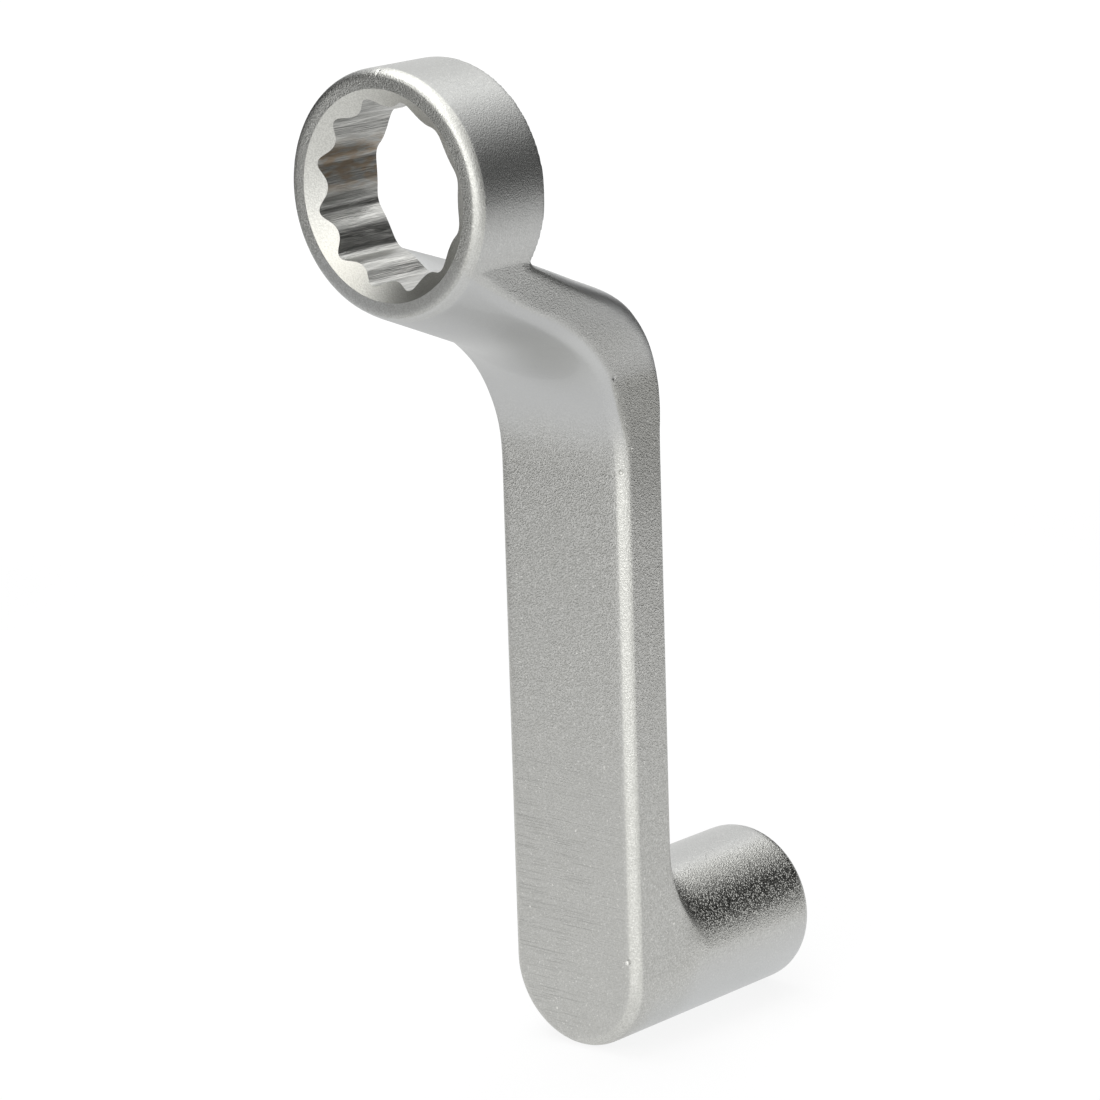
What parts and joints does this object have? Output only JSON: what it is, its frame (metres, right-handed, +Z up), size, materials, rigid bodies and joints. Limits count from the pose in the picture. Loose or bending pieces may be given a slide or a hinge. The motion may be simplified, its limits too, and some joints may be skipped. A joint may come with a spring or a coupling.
{
  "type": "camber adjustment wrench",
  "caption": "Cranked steel wrench with a 12-point box ring at the top of a flat bar and a round boss with a square drive socket at its foot",
  "frame": {"origin": "centre of the square drive's mouth, on the axis of the boss", "axes": "+Y out of the drive's mouth, +Z up the bar towards the ring, +X across the bar; the ring faces -Y"},
  "size_m": [0.036, 0.079, 0.1545],
  "materials": {
    "steel": "satin plated steel over a fine shot-blasted grain, with faint sanding lines near the foot and bright machined bores"
  },
  "bodies": {
    "root": {"ring_head": "steel", "cranked_neck": "steel", "handle_bar": "steel", "drive_boss": "steel"}
  },
  "joints": []
}
